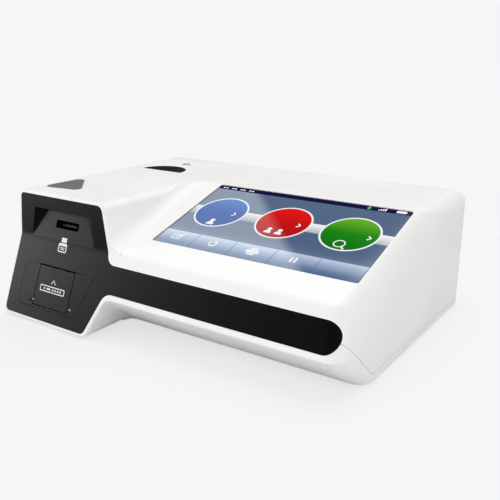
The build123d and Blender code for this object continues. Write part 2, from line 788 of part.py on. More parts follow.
rail_x0 = tray_x0 - rail_gap - rail_t
rail_x1 = tray_x1 + rack_root + rack_tip + rail_gap
rail_y0 = 46.0
rail_y1 = 158.0
rail_z1 = tray_z0 + tray_t + rail_gap + 1.2
lip_in = 1.8
pinion_room = pitch_r + rack_module + 1.5
with BuildPart() as tray_chassis:
    add(block(rail_x0, 82, rail_y0, rail_y1, chassis_z0, chassis_z1))
    add(block(rail_x0, rail_x0 + rail_t, rail_y0, rail_y1, chassis_z1, rail_z1))
    add(block(rail_x0, tray_x0 + lip_in, rail_y0, rail_y1, tray_z0 + tray_t + rail_gap, rail_z1))
    add(block(rail_x1, rail_x1 + rail_t, rail_y0, rail_y1, chassis_z1, rail_z1))
    add(block(tray_x1 - lip_in, rail_x1 + rail_t, rail_y0, rail_y1, tray_z0 + tray_t + rail_gap, rail_z1))
    add(block(tray_x1 + 0.2, 82, pinion_y - pinion_room, pinion_y + pinion_room,
              chassis_z1, rail_z1 + 1), mode=Mode.SUBTRACT)
    add(upright(from_left(pinion_x), from_front(pinion_y), 4.0, chassis_z0 - 1, chassis_z1 + 1),
        mode=Mode.SUBTRACT)
save(tray_chassis, "tray_chassis")


def involute_angle(radius, base):
    """Polar angle that an involute has turned through at a radius."""
    roll = (max(radius / base, 1.0) ** 2 - 1) ** 0.5
    return roll - atan(roll)


base_r = pitch_r * cos(pressure)
tip_r = pitch_r + 0.95 * rack_module
root_r = pitch_r - 1.25 * rack_module
play_angle = 0.06 / pitch_r
half_tooth = pi / (2 * pinion_teeth) - play_angle + involute_angle(pitch_r, base_r)
flank_radii = [root_r, base_r, pitch_r, tip_r]
gear_points = []
for tooth in range(pinion_teeth):
    middle = pi + 2 * pi * tooth / pinion_teeth
    for r in flank_radii:
        gear_points.append((r, middle - half_tooth + involute_angle(r, base_r)))
    for r in reversed(flank_radii):
        gear_points.append((r, middle + half_tooth - involute_angle(r, base_r)))
with BuildPart() as drive_pinion:
    with BuildSketch(Plane.XY.offset(rack_z0 - 0.3)):
        with Locations((from_left(pinion_x), from_front(pinion_y))):
            with BuildLine():
                Polyline(*[(from_left(pinion_x) + r * cos(a), from_front(pinion_y) + r * sin(a))
                           for r, a in gear_points], close=True)
            make_face()
    extrude(amount=rack_face + 0.6)
    add(upright(from_left(pinion_x), from_front(pinion_y), shaft_r, chassis_z0 - motor_h + 3,
                rack_z0 + rack_face + 1.5))
save(drive_pinion, "drive_pinion")

with BuildPart() as drive_motor:
    add(upright(from_left(pinion_x), from_front(pinion_y), motor_r, chassis_z0 - motor_h, chassis_z0))
    add(block(pinion_x - 14, pinion_x + 14, pinion_y - 4, pinion_y + 4, chassis_z0 - 1, chassis_z0))
    add(upright(from_left(pinion_x), from_front(pinion_y), shaft_r + 0.06,
                chassis_z0 - motor_h + 2.5, chassis_z0 + 1), mode=Mode.SUBTRACT)
save(drive_motor, "drive_motor")

# ------------------------------------------------------------------ optics block
optics_y0 = 88.0
optics_y1 = 128.0
optics_mid_x = tray_x0 + tray_w / 2
optics_mid_y = (optics_y0 + optics_y1) / 2
lens_r = 5.0
with BuildPart() as optics_housing:
    add(block(rail_x0, rail_x1 + rail_t, optics_y0, optics_y1, rail_z1, rail_z1 + optics_h))
    add(upright(from_left(optics_mid_x), from_front(optics_mid_y), lens_r + 0.05,
                rail_z1 - 1, rail_z1 + optics_h + 1), mode=Mode.SUBTRACT)
    with BuildSketch(Plane.XZ.offset(-from_front(optics_y0))):
        with Locations((from_left(optics_mid_x), rail_z1 + 14)):
            Circle(3.05)
    extrude(amount=-(optics_y1 - optics_y0) / 2, mode=Mode.SUBTRACT)
save(optics_housing, "optics_housing")
with BuildPart() as optics_lens:
    add(upright(from_left(optics_mid_x), from_front(optics_mid_y), lens_r, rail_z1 + 2, rail_z1 + 7))
    with Locations((from_left(optics_mid_x), from_front(optics_mid_y), rail_z1 + 4.5)):
        Sphere(5.4, mode=Mode.INTERSECT)
save(optics_lens, "optics_lens")
with BuildPart() as light_source:
    with BuildSketch(Plane.XZ.offset(-from_front(optics_y0 + 6))):
        with Locations((from_left(optics_mid_x), rail_z1 + 14)):
            Circle(3.0)
    extrude(amount=14)
save(light_source, "light_source")
with BuildPart() as photodetector:
    add(upright(from_left(optics_mid_x), from_front(optics_mid_y), lens_r,
                rail_z1 + optics_h - 5, rail_z1 + optics_h))
    add(block(optics_mid_x - 11, optics_mid_x + 11, optics_mid_y - 11, optics_mid_y + 11,
              rail_z1 + optics_h, rail_z1 + optics_h + board_t))
save(photodetector, "photodetector")
with BuildPart() as home_sensor:
    add(block(68, 78, 146, 156, chassis_z1, chassis_z1 + 7))
    add(block(66, 79, 149.5, 152.5, chassis_z1 + 3, chassis_z1 + 8), mode=Mode.SUBTRACT)
save(home_sensor, "home_sensor")

# ------------------------------------------------------------------ touch screen
glass_plane = screen_plane.offset(-glass_sink)
lcd_plane = glass_plane.offset(-glass_t)
lcd_w = screen_w + lcd_margin - lcd_inset
lcd_y0 = window_y0 - 12.0
lcd_h = screen_h + 12.0 - 1.8
lcd_x = window_x - (lcd_margin + lcd_inset) / 2
with BuildPart() as display_glass:
    with BuildSketch(glass_plane):
        with Locations((window_x, window_y)):
            RectangleRounded(screen_w - 2 * glass_fit, screen_h - 2 * glass_fit, screen_r - glass_fit)
    extrude(amount=-glass_t)
save(display_glass, "display_glass")
with BuildPart() as lcd_module:
    with BuildSketch(lcd_plane):
        with Locations((lcd_x, lcd_y0 + lcd_h / 2)):
            Rectangle(lcd_w, lcd_h)
    extrude(amount=-lcd_t)
save(lcd_module, "lcd_module")
frame_plane = lcd_plane.offset(-lcd_t)
with BuildPart() as display_frame:
    with BuildSketch(frame_plane):
        with Locations((lcd_x, lcd_y0 + lcd_h / 2)):
            Rectangle(lcd_w, lcd_h)
    extrude(amount=-frame_t)
save(display_frame, "display_frame")

# ------------------------------------------------------------- board and sockets
with BuildPart() as main_board:
    add(block(board_x0, board_x1, board_y0, board_y1, board_z0, board_z1))
    for x, y, w, d, h in [(150, 110, 22, 22, 2.0), (190, 120, 16, 16, 1.6), (120, 90, 12, 18, 3.0),
                          (225, 95, 14, 10, 8.0), (165, 165, 10, 20, 1.6)]:
        add(block(x - w / 2, x + w / 2, y - d / 2, y + d / 2, board_z1, board_z1 + h))
save(main_board, "main_board")


def rear_y(z):
    """Y of the rear wall's outer face at a height above the bulge."""
    share = (z - rear_bulge_z) / (case_h - rear_bulge_z)
    return case_d - rear_top_in * share


def rear_socket(x, w, h, deep):
    """Socket body on the board, its face just inside the rear wall's surface."""
    with BuildPart() as socket:
        add(block(x - w / 2, x + w / 2, rear_y(board_z1) - port_sink - deep,
                  rear_y(board_z1 + h) - port_sink, board_z1, board_z1 + h))
    return socket.part


port_face = case_d + 5
with BuildPart() as lan_port:
    add(rear_socket(lan_x, lan_w, lan_h, 19))
    add(block(lan_x - 6, lan_x + 6, case_d - lan_deep, port_face, board_z1 + 2, board_z1 + 9), mode=Mode.SUBTRACT)
    add(block(lan_x - 3, lan_x + 3, case_d - lan_deep, port_face, board_z1 + 9, board_z1 + 11.5), mode=Mode.SUBTRACT)
save(lan_port, "lan_port")
with BuildPart() as usb_ports:
    add(rear_socket(usb_x, usb_w, usb_h, 16))
    for low in (1.2, 8.4):
        add(block(usb_x - 6.2, usb_x + 6.2, case_d - usb_deep, port_face, board_z1 + low, board_z1 + low + 5.0),
            mode=Mode.SUBTRACT)
        add(block(usb_x - 5.2, usb_x + 5.2, case_d - usb_deep - 1, port_face - 8.5, board_z1 + low + 3.0, board_z1 + low + 4.4))
save(usb_ports, "usb_ports")
with BuildPart() as serial_port:
    add(rear_socket(serial_x, serial_w, serial_h, 12))
    with BuildSketch(Plane.XZ.offset(-from_front(case_d - 0.6))):
        with Locations((from_left(serial_x), board_z1 + serial_h / 2)):
            Trapezoid(17.5, 8.6, 80, rotation=180)
            Trapezoid(15.9, 7.0, 80, rotation=180, mode=Mode.SUBTRACT)
    extrude(amount=5)
save(serial_port, "serial_port")
with BuildPart() as dc_jack:
    add(rear_socket(jack_x, jack_w, jack_h, 13))
    with BuildSketch(Plane.XZ.offset(-from_front(port_face))):
        with Locations((from_left(jack_x), board_z1 + jack_h / 2)):
            Circle(3.9)
            Circle(1.0, mode=Mode.SUBTRACT)
    extrude(amount=15, mode=Mode.SUBTRACT)
save(dc_jack, "dc_jack")

# ------------------------------------------------------------------ power switch
switch_y1 = rear_y(switch_z + switch_h / 2)      # bezel's face, from the front
switch_deep = 16.0
bezel_lap = 1.5
rocker_w = switch_w - 5.0
rocker_h = switch_h - 5.0
rocker_axis_y = switch_y1 - 2.2
with BuildPart() as switch_body:
    add(block(switch_x - switch_w / 2 + 0.1, switch_x + switch_w / 2 - 0.1, switch_y1 - switch_deep,
              switch_y1 + 0.9, switch_z - switch_h / 2 + 0.1, switch_z + switch_h / 2 - 0.1))
    add(block(switch_x - rocker_w / 2 - rocker_gap, switch_x + rocker_w / 2 + rocker_gap,
              switch_y1 - 7.5, case_d + 5, switch_z - rocker_h / 2 - rocker_gap,
              switch_z + rocker_h / 2 + rocker_gap), mode=Mode.SUBTRACT)
    add(upright(from_left(switch_x), from_front(rocker_axis_y), rocker_pin_r + 0.06,
                switch_z - rocker_h / 2 - 1.6, switch_z + rocker_h / 2 + 1.6), mode=Mode.SUBTRACT)
save(switch_body, "switch_body")
rocker_plane = Plane(
    origin=(from_left(switch_x), from_front(rocker_axis_y), switch_z - rocker_h / 2),
    x_dir=(cos(radians(rocker_tilt)), -sin(radians(rocker_tilt)), 0), z_dir=(0, 0, 1))
with BuildPart() as power_rocker:
    with BuildSketch(rocker_plane):
        with BuildLine():
            half = rocker_w / 2 - 0.5
            Polyline((-half, 2.6), (-half, -0.5), (0, -3.0), (half, -0.5), (half, 2.6), (0, 1.7),
                     close=True)
        make_face()
    extrude(amount=rocker_h)
    add(upright(from_left(switch_x), from_front(rocker_axis_y), rocker_pin_r,
                switch_z - rocker_h / 2 - 1.5, switch_z + rocker_h / 2 + 1.5))
save(power_rocker, "power_rocker")

# ---------------------------------------------------------------------- printer
tub_x0 = cover_x0
tub_x1 = cover_x1
tub_y0 = lid_y0 + 1.0
tub_y1 = lid_y1 + 5.6
tub_z0 = roll_z - roll_r - 2.5
flange_z1 = case_h - wall
flange_t = 1.5
paper_x0 = (tub_x0 + tub_x1 - paper_w) / 2
paper_x1 = paper_x0 + paper_w
roll_plane = Plane(origin=(0, from_front(roll_y), roll_z), x_dir=(0, 1, 0), z_dir=(1, 0, 0))
platen_plane = Plane(origin=(0, from_front(platen_y), platen_z), x_dir=(0, 1, 0), z_dir=(1, 0, 0))
divider_y = roll_y - roll_r - 1.5
with BuildPart() as printer_frame:
    add(block(tub_x0 - frame_t, tub_x1 + frame_t, tub_y0, tub_y1, tub_z0, flange_z1))
    add(block(tub_x0, tub_x1, tub_y0 + frame_t, tub_y1 - frame_t, tub_z0 + frame_t, case_h),
        mode=Mode.SUBTRACT)
    add(block(tub_x0, tub_x1, divider_y - frame_t, divider_y, tub_z0, platen_z - 8))
    add(block(tub_x0 - 2, tub_x1 + 4, tub_y0 - 4, tub_y1, flange_z1 - flange_t, flange_z1))
    add(block(tub_x0, tub_x1, tub_y0 + frame_t, tub_y1 - frame_t, flange_z1 - 5, case_h),
        mode=Mode.SUBTRACT)
    for near, far in ((tub_x0, paper_x0 + 3), (paper_x1 - 3, tub_x1)):
        add(bar(roll_plane, roll_core_r - 0.4, near - 0.5, far))
    add(bar(platen_plane, 1.56, tub_x0 - frame_t - 1, tub_x1 + frame_t + 1), mode=Mode.SUBTRACT)
    add(bar(lid_plane, lid_barrel_r + 0.4, tub_x0 - 4, tub_x1 + 6), mode=Mode.SUBTRACT)
save(printer_frame, "printer_frame")
with BuildPart() as print_head:
    add(block(paper_x0 - 1, paper_x1 + 1, platen_y - 5, platen_y + 5,
              platen_z - platen_r - 4, platen_z - platen_r - 0.3))
    add(block(paper_x0 + 8, paper_x1 - 8, platen_y - 3, platen_y + 3, tub_z0 + frame_t,
              platen_z - platen_r - 4))
save(print_head, "print_head")
with BuildPart() as platen_roller:
    add(bar(platen_plane, platen_r, paper_x0 - 0.5, paper_x1 + 0.5))
    add(bar(platen_plane, 1.5, tub_x0 - frame_t - 0.5, tub_x1 + frame_t + 4))
    add(bar(platen_plane, 5.0, tub_x1 + frame_t + 0.5, tub_x1 + frame_t + 3.5))
save(platen_roller, "platen_roller")
with BuildPart() as paper_roll:
    add(bar(roll_plane, roll_r, paper_x0, paper_x1))
    add(bar(roll_plane, roll_core_r, paper_x0 - 1, paper_x1 + 1), mode=Mode.SUBTRACT)
save(paper_roll, "paper_roll")
with BuildPart() as printer_lid:
    with BuildSketch(Plane.XY.offset(case_h)):
        with Locations((from_left((cover_x0 + cover_x1) / 2), from_front((lid_y0 + lid_y1) / 2))):
            Rectangle(cover_x1 - cover_x0, lid_y1 - lid_y0)
    extrude(amount=-lid_t)
    add(bar(lid_plane, lid_barrel_r, cover_x0, cover_x1))
    with BuildSketch(Plane.XY.offset(case_h)):
        with Locations((from_left((cover_x0 + cover_x1) / 2), lid_axis_y)):
            Rectangle(cover_x1 - cover_x0 + 2, 2 * lid_barrel_r, align=(Align.CENTER, Align.MIN))
    extrude(amount=-2 * lid_barrel_r, mode=Mode.SUBTRACT)
    add(bar(lid_plane, lid_barrel_r, cover_x0, cover_x1))
    add(bar(lid_plane, lid_pin_r + hinge_fit, cover_x0 - 1, cover_x1 + 1), mode=Mode.SUBTRACT)
    add(upright(from_left(scoop_x), from_front(lid_y0), scoop_r, case_h - lid_t - 1, case_h + 1),
        mode=Mode.SUBTRACT)
save(printer_lid, "printer_lid")
with BuildPart() as lid_hinge_pins:
    add(bar(lid_plane, lid_pin_r, cover_x0 - lid_pin_out + 0.2, cover_x0 + 4))
    add(bar(lid_plane, lid_pin_r, cover_x1 - 4, cover_x1 + lid_pin_out - 0.2))
save(lid_hinge_pins, "lid_hinge_pins")
scoop_z1 = case_h - lid_t - 0.3
with BuildPart() as finger_scoop:
    add(upright(from_left(scoop_x), from_front(lid_y0), scoop_r + 2.0, case_h - scoop_deep - 1.2, scoop_z1))
    add(upright(from_left(scoop_x), from_front(lid_y0), scoop_r + 0.6, case_h - scoop_deep, case_h),
        mode=Mode.SUBTRACT)
    add(block(0, cover_x1 + 20, lid_y0 - 60, tub_y0 + frame_t, 60, case_h + 5), mode=Mode.SUBTRACT)
save(finger_scoop, "finger_scoop")

# ------------------------------------------------------- plate, feet and screws
with BuildPart() as badge_plate:
    corners = [(from_left(x), from_front(y)) for x, y in badge_corners]
    extrude(rounded_outline(Plane.XY.offset(case_h), corners, [badge_r] * 3, 0), amount=badge_t)
save(badge_plate, "badge_plate")
with BuildPart() as rubber_feet:
    for x, y in foot_spots:
        add(upright(from_left(x), from_front(y), foot_r, 0, foot_h))
save(rubber_feet, "rubber_feet")
with BuildPart() as case_screws:
    for x, y, dx, dy in post_spots:
        add(upright(from_left(x), from_front(y), screw_r, foot_h + 0.2, foot_h + head_deep))
        add(upright(from_left(x), from_front(y), pilot_r - 0.05, foot_h + head_deep, 30))
save(case_screws, "case_screws")
speaker_x = 168.0
speaker_y = 90.0
with BuildPart() as speaker:
    add(upright(from_left(speaker_x), from_front(speaker_y), 12.0, foot_h + floor_t, foot_h + floor_t + 5))
save(speaker, "speaker")
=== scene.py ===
# %% [markdown]
# # A desk-top rapid test reader
# The solids of this reader were made in a CAD program, so every wall, hinge and screw already
# has its right size and place. This lesson dresses those solids: it gives each one a finish,
# adds the thin printed and lit pieces that a solid can't carry, and sets a small photo studio
# around them. All lengths are metres, with X to the right, Y to the rear and Z up.

# %% Load the solids
import math

import bmesh
import bpy
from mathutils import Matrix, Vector


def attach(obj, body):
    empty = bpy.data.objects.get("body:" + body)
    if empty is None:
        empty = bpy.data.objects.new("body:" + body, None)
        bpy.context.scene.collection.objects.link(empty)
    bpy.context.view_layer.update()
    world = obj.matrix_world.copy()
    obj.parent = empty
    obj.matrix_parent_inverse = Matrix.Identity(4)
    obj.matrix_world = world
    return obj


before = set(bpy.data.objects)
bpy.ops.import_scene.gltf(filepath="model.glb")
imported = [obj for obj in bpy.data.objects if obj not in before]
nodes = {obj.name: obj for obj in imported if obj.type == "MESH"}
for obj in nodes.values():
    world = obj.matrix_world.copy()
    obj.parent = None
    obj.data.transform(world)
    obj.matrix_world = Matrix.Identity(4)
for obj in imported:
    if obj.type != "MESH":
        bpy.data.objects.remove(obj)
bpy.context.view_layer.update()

# %% [markdown]
# ## Places on the case
# The drawing of the reader counts from its left side and from its foremost edge, in
# millimetres, and small helpers turn such a place into scene coordinates. The front and the
# touch screen both lean. Prints on them could be drawn on the table and turned into place, but
# an angle is then easy to get wrong. So each leaning face gets a corner, a direction up the
# face and a direction out of it, and anything printed or lit is drawn flat on that face.

# %% Millimetres to the scene
MM = 0.001
CASE_W = 276.0
CASE_D = 220.0
CASE_H = 91.0


def place(left, front, z):
    """Point from the case's left side, its foremost edge and the table, in millimetres."""
    return Vector(((left - CASE_W / 2) * MM, (front - CASE_D / 2) * MM, z * MM))


class Face:
    """A flat face of the case. Its drawings are in millimetres across and up from its corner."""

    def __init__(self, corner, lean):
        self.corner = corner
        self.up = Vector((0, math.cos(lean), math.sin(lean)))
        self.out = Vector((0, -math.sin(lean), math.cos(lean)))

    def point(self, across, up, out):
        """Scene point of a place on the face."""
        return self.corner + Vector((across * MM, 0, 0)) + self.up * (up * MM) + self.out * (out * MM)


# %% The three faces that carry prints
FRONT_LEAN = math.radians(90 - 21.8)
SCREEN_LEAN = math.radians(17.03)
TOE_Z = 3.6
LIP_Z = 59.8
LIP_FRONT = (LIP_Z - TOE_Z) / math.tan(FRONT_LEAN)
SCREEN_LEFT = 114.3
SCREEN_FRONT = 42.7
SCREEN_H = 85.0
GLASS_SINK = 0.5

screen_rise = (SCREEN_FRONT - LIP_FRONT) * math.tan(SCREEN_LEAN)
screen_face = Face(place(SCREEN_LEFT, SCREEN_FRONT, LIP_Z + screen_rise), SCREEN_LEAN)
front_face = Face(place(0, 0, TOE_Z), FRONT_LEAN)
top_face = Face(place(0, 0, CASE_H), 0.0)
print("screen corner", tuple(round(c, 4) for c in screen_face.corner))


def up_front(z):
    """Distance up the front face of a height, in millimetres."""
    return (z - TOE_Z) / math.sin(FRONT_LEAN)


# %% [markdown]
# ## Camera
# The photograph was taken from the right of the front and a little above. A camera can be
# placed by eye until the picture looks right, but the last few pixels take long that way. Here
# the lens and the place were worked out from the corners of the case and of the screen, so the
# reader stands in the picture at the same size and turn.

# %% Set the camera
CAMERA_YAW = math.radians(34.33)
CAMERA_PITCH = math.radians(17.22)
camera_data = bpy.data.cameras.new("studio_camera")
camera_data.lens = 47.98
camera_data.sensor_width = 36.0
camera = bpy.data.objects.new("studio_camera", camera_data)
bpy.context.scene.collection.objects.link(camera)
camera.location = (0.2787, -0.3906, 0.1943)
camera.rotation_euler = (math.pi / 2 - CAMERA_PITCH, 0, CAMERA_YAW)
bpy.context.scene.camera = camera
bpy.context.scene.view_settings.view_transform = "Standard"
print("camera at", tuple(camera.location))

# %% [markdown]
# ## Writing materials as sums
# A Blender material is a net of nodes. Laying nodes out by hand is slow to read, so here one
# small class stands for the output of any node. Python's operators add Math nodes, and `node`
# adds any other kind: first its settings, then the values or links of its sockets. `above` and
# `between` make soft masks from a number, and `mix` blends two colours by a mask.

# %% A value inside a material
MIX_A = 6
MIX_B = 7
MIX_COLOUR = 2


class Value:
    """The output socket of a node, ready for sums."""

    def __init__(self, tree, socket):
        self.tree = tree
        self.socket = socket

    def node(self, kind, settings, sockets, output=0):
        """Add a node of a kind with its settings and sockets, and give one of its outputs."""
        made = self.tree.nodes.new(kind)
        for name, setting in settings.items():
            if name == "stops":
                ramp = made.color_ramp
                while len(ramp.elements) < len(setting):
                    ramp.elements.new(1.0)
                for element, (position, colour) in zip(ramp.elements, setting):
                    element.position = position
                    element.color = colour
            else:
                setattr(made, name, setting)
        for name, value in sockets.items():
            if isinstance(value, Value):
                self.tree.links.new(value.socket, made.inputs[name])
            else:
                made.inputs[name].default_value = value
        return Value(self.tree, made.outputs[output])

    def maths(self, operation, first, second=0.0):
        """One Math node on two values or numbers."""
        return self.node("ShaderNodeMath", {"operation": operation}, {0: first, 1: second})

    def __add__(self, other):
        return self.maths("ADD", self, other)

    def __sub__(self, other):
        return self.maths("SUBTRACT", self, other)

    def __mul__(self, other):
        return self.maths("MULTIPLY", self, other)

    def __truediv__(self, other):
        return self.maths("DIVIDE", self, other)

    def __rsub__(self, other):
        return self.maths("SUBTRACT", other, self)

    def __rtruediv__(self, other):
        return self.maths("DIVIDE", other, self)

    __radd__ = __add__
    __rmul__ = __mul__

    def fraction(self):
        """What is left over after the whole numbers."""
        return self.maths("FRACT", self)

    def ramp(self, *stops):
        """Colour that runs through stops, each a position and a colour, as this value grows."""
        return self.node("ShaderNodeValToRGB", {"stops": stops}, {0: self})

    def above(self, limit, soft):
        """0 below a limit and 1 above it, with a soft step between."""
        return self.node("ShaderNodeMapRange", {"interpolation_type": "SMOOTHSTEP"},
                         {"Value": self, "From Min": limit - soft, "From Max": limit + soft})

    def between(self, low, high, soft):
        """1 between two limits."""
        return self.above(low, soft) * (1 - self.above(high, soft))

    def mix(self, low, high):
        """Colour low where this value is 0, and colour high where it is 1."""
        return self.node("ShaderNodeMix", {"data_type": "RGBA"}, {0: self, MIX_A: low, MIX_B: high},
                         MIX_COLOUR)


# %% [markdown]
# ## Helpers that every finish shares
# Every finish is a Principled shader. What is the same all over a piece is set straight on the
# shader, and what drifts over it is linked. The drift could follow a UV map, but CAD solids have
# none, so it follows the object coordinates, which are metres on the real reader. A grain of
# 0.3 mm is then a noise of about 3000 to the metre, on every piece alike.

# %% Colours and shaders
def srgb(r, g, b):
    """A colour as a painter names it, 0 to 255, turned into the linear values of a shader."""
    def linear(c):
        c = c / 255
        return c / 12.92 if c <= 0.04045 else ((c + 0.055) / 1.055) ** 2.4
    return (linear(r), linear(g), linear(b), 1.0)


def start_finish(name, **constants):
    """New material, its shader node, and object coordinates in metres."""
    made = bpy.data.materials.new(name)
    made.use_nodes = True
    tree = made.node_tree
    shader = tree.nodes["Principled BSDF"]
    for socket, value in constants.items():
        shader.inputs[socket.replace("_", " ")].default_value = value
    coords = tree.nodes.new("ShaderNodeTexCoord")
    return made, shader, Value(tree, coords.outputs["Object"])


def feed(shader, **values):
    """Link values to the shader's sockets."""
    for socket, value in values.items():
        value.tree.links.new(value.socket, shader.inputs[socket.replace("_", " ")])


print("mid grey in linear light", round(srgb(128, 128, 128)[0], 3))


# %% Grain, drift and relief
def noise(spot, scale, detail=2.0):
    """Cloudy variation, 0 to 1, of so many patches to the metre."""
    return spot.node("ShaderNodeTexNoise", {}, {"Vector": spot, "Scale": scale, "Detail": detail})


def drift(mask, base, darker, low, high):
    """Colour that rises from a slightly darker shade to the base as a mask goes from low to high."""
    return mask.ramp((low, srgb(*[c - darker for c in base])), (high, srgb(*base)))


def bumps(height, depth):
    """Normal of a relief of a depth in metres."""
    return height.node("ShaderNodeBump", {}, {"Strength": 1.0, "Distance": depth, "Height": height})


# %% [markdown]
# ## White moulded casing
# The two cases are moulded in a white plastic with a very fine spark-eroded grain. One plain
# white would look like paper: the real plastic clouds a little, and hands polish the top. So
# the colour drifts by one or two percent, the roughness by more, and two sizes of bump make the
# grain. A dark grip lies under the paper cover's cut-out, and the rim of that cut-out is part of
# the white solid. The cover's finish turns dark in a round patch there, over that rim.

# %% Casing finish
def casing_finish(name, base, dish=None):
    """White grained plastic. A dish is the middle, radius and colour of a round dark patch on it."""
    made, shader, spot = start_finish(name, Specular_IOR_Level=0.2)
    cloud = noise(spot, 14.0, 3.0)
    grain = noise(spot, 2600.0, 1.0)
    orange_peel = noise(spot, 420.0, 2.0)
    shade = drift(cloud, base, 3, 0.35, 0.65)
    if dish:
        middle, radius, colour = dish
        flat = spot.node("ShaderNodeVectorMath", {"operation": "MULTIPLY"}, {0: spot, 1: (1, 1, 0)})
        away = flat.node("ShaderNodeVectorMath", {"operation": "DISTANCE"}, {0: flat, 1: middle}, 1)
        shade = away.above(radius, 0.05 * MM).mix(colour, shade)
    feed(shader, Base_Color=shade, Roughness=0.36 + cloud * 0.10 + grain * 0.06,
         Normal=bumps(grain * 0.7 + orange_peel * 0.3, 0.012 * MM))
    return made


GRIP_MIDDLE = place(36.4, 142.0, 0.0)
GRIP_R = 20.95 * MM
MOULDED_WHITE = (242, 242, 241)
casing_white = casing_finish("casing_white", MOULDED_WHITE)
lid_white = casing_finish("lid_white", MOULDED_WHITE, dish=(GRIP_MIDDLE, GRIP_R, srgb(58, 58, 60)))
print("finishes", casing_white.name, lid_white.name)

# %% [markdown]
# ## Satin charcoal front
# The front cover, the port panel and the door are black plastic with a satin skin. Making the
# colour darker or paler changes little, because satin black is nearly all reflection. What
# matters is the roughness: a little cloudy, with a fine grain that breaks up the light. The
# tray, the grip and the inner mouldings are the same plastic in other greys.

# %% Front cover finish
def charcoal_finish(name, base, roughness, gleam=0.35):
    """Satin plastic of a dark or grey colour. The gleam is how much it reflects."""
    made, shader, spot = start_finish(name, Specular_IOR_Level=gleam)
    cloud = noise(spot, 22.0, 3.0)
    grain = noise(spot, 3200.0, 1.0)
    feed(shader, Base_Color=drift(cloud, base, 3, 0.3, 0.7),
         Roughness=roughness + cloud * 0.08 + grain * 0.05, Normal=bumps(grain, 0.01 * MM))
    return made


front_charcoal = charcoal_finish("front_charcoal", (10, 10, 11), 0.34, 0.34)
inner_black = charcoal_finish("inner_black", (23, 23, 24), 0.5)
scoop_grey = charcoal_finish("scoop_grey", (77, 77, 79), 0.45)
badge_grey = charcoal_finish("badge_grey", (121, 121, 123), 0.42)
tray_grey = charcoal_finish("tray_grey", (153, 155, 158), 0.4)
print("finishes", front_charcoal.name, inner_black.name, scoop_grey.name, badge_grey.name)

# %% [markdown]
# ## Metal
# The motor, the sockets and the printing head are plated steel, and the pins and screws are
# turned. A plain mirror would look like glass, because real sheet metal shows which way it was
# rolled. The noise is stretched along one direction to draw that streak, and it moves both the
# colour and the roughness.

# %% Metal finishes
def steel_finish(name, base, along, roughness, metallic=1.0):
    """Metal with a streak. It is drawn out in the directions where along is small."""
    made, shader, spot = start_finish(name, Metallic=metallic)
    stretch = spot.node("ShaderNodeVectorMath", {"operation": "MULTIPLY"}, {0: spot, 1: along})
    streak = noise(stretch, 900.0, 3.0)
    cloud = noise(spot, 60.0)
    feed(shader, Base_Color=drift(streak, base, 14, 0.3, 0.7),
         Roughness=roughness + streak * 0.12 + cloud * 0.08, Normal=bumps(streak, 0.006 * MM))
    return made


plated_steel = steel_finish("plated_steel", (196, 198, 202), (0.06, 1.0, 1.0), 0.28)
turned_pin = steel_finish("turned_pin", (205, 206, 208), (1.0, 0.2, 0.2), 0.3, 0.4)
brass_can = steel_finish("brass_can", (201, 164, 92), (1.0, 0.1, 1.0), 0.25)
print("finishes", plated_steel.name, turned_pin.name, brass_can.name)

# %% [markdown]
# ## Rubber, paper and gear plastic
# The feet and the printer's roller are rubber, the roll is thermal paper, and the pinion is
# pale gear plastic. All of them are dull, and they differ in colour and in how coarse their
# surface is. So one finish serves for the four: it takes the number of fibres or specks to the
# metre and the depth of the relief.

# %% Rubber, paper and gear finishes
def dull_finish(name, base, roughness, fibre, depth):
    """Dull surface with a fine speckle and a relief of a depth in metres."""
    made, shader, spot = start_finish(name, Specular_IOR_Level=0.35)
    cloud = noise(spot, 90.0, 2.0)
    grain = noise(spot, fibre, 3.0)
    feed(shader, Base_Color=drift(grain, base, 6, 0.35, 0.65), Roughness=roughness + cloud * 0.1,
         Normal=bumps(grain, depth))
    return made


foot_rubber = dull_finish("foot_rubber", (38, 38, 38), 0.7, 1500.0, 0.03 * MM)
platen_rubber = dull_finish("platen_rubber", (46, 44, 44), 0.6, 2200.0, 0.01 * MM)
thermal_paper = dull_finish("thermal_paper", (240, 239, 233), 0.55, 1100.0, 0.01 * MM)
gear_plastic = dull_finish("gear_plastic", (226, 222, 208), 0.4, 700.0, 0.004 * MM)
print("finishes", foot_rubber.name, platen_rubber.name, thermal_paper.name, gear_plastic.name)

# %% [markdown]
# ## Circuit board and lens
# A circuit board is green lacquer over copper tracks. Drawing real tracks would take hundreds
# of lines for a board that hardly shows from outside, so the edges of a cell pattern stand for
# them: a paler green, raised a little. The lens of the reading head is clear glass, which
# needs only its refraction and a trace of uneven polish.

# %% Circuit board finish
def board_finish(name):
    """Green lacquer over raised tracks."""
    made, shader, spot = start_finish(name, Specular_IOR_Level=0.5)
    cells = spot.node("ShaderNodeTexVoronoi", {"feature": "DISTANCE_TO_EDGE"},
                      {"Vector": spot, "Scale": 180.0})
    tracks = 1 - cells.above(0.07, 0.02)
    lacquer = noise(spot, 40.0).mix(srgb(14, 72, 40), srgb(20, 88, 50))
    shade = tracks.mix(lacquer, srgb(46, 120, 70))
    feed(shader, Base_Color=shade, Roughness=0.3 + tracks * 0.12, Normal=bumps(tracks, 0.03 * MM))
    return made


board_green = board_finish("board_green")


# %% Lens finish
def lens_finish(name):
    """Clear glass with a trace of uneven polish."""
    made, shader, spot = start_finish(name, Transmission_Weight=1.0, IOR=1.5,
                                      Base_Color=(0.93, 0.97, 1, 1))
    feed(shader, Roughness=0.02 + noise(spot, 300.0) * 0.03)
    return made


lens_glass = lens_finish("lens_glass")
print("finishes", board_green.name, lens_glass.name)
